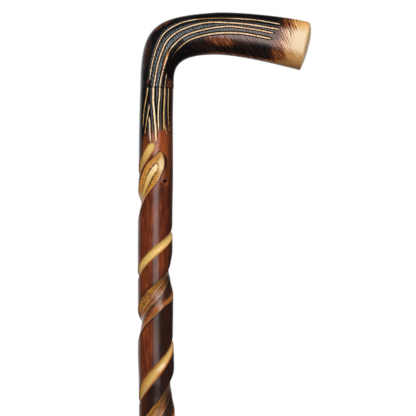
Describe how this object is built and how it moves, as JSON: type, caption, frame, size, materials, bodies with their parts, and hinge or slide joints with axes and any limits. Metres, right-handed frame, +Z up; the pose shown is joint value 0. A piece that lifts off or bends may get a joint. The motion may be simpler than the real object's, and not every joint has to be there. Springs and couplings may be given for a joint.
{
  "type": "walking cane",
  "caption": "Hardwood walking cane with an L-shaped handle, a spiral-carved shaft and a rubber ferrule.",
  "frame": {"origin": "centre of the ferrule's foot, on the ground, on the shaft's axis", "axes": "+Z up the shaft, +X along the handle towards its nose, the picture taken from -Y"},
  "size_m": [0.1372, 0.0376, 0.9142],
  "materials": {
    "scorched_wood": "scorched, carved and lacquered",
    "stained_wood": "stained and gloss lacquered",
    "dowel_wood": "bare, fluted",
    "ferrule_rubber": "moulded, matte",
    "washer_steel": "plain"
  },
  "bodies": {
    "root": {"handle": "scorched_wood", "shaft": "stained_wood", "handle_dowel": "dowel_wood", "ferrule": "ferrule_rubber", "ferrule_washer": "washer_steel"}
  },
  "joints": []
}
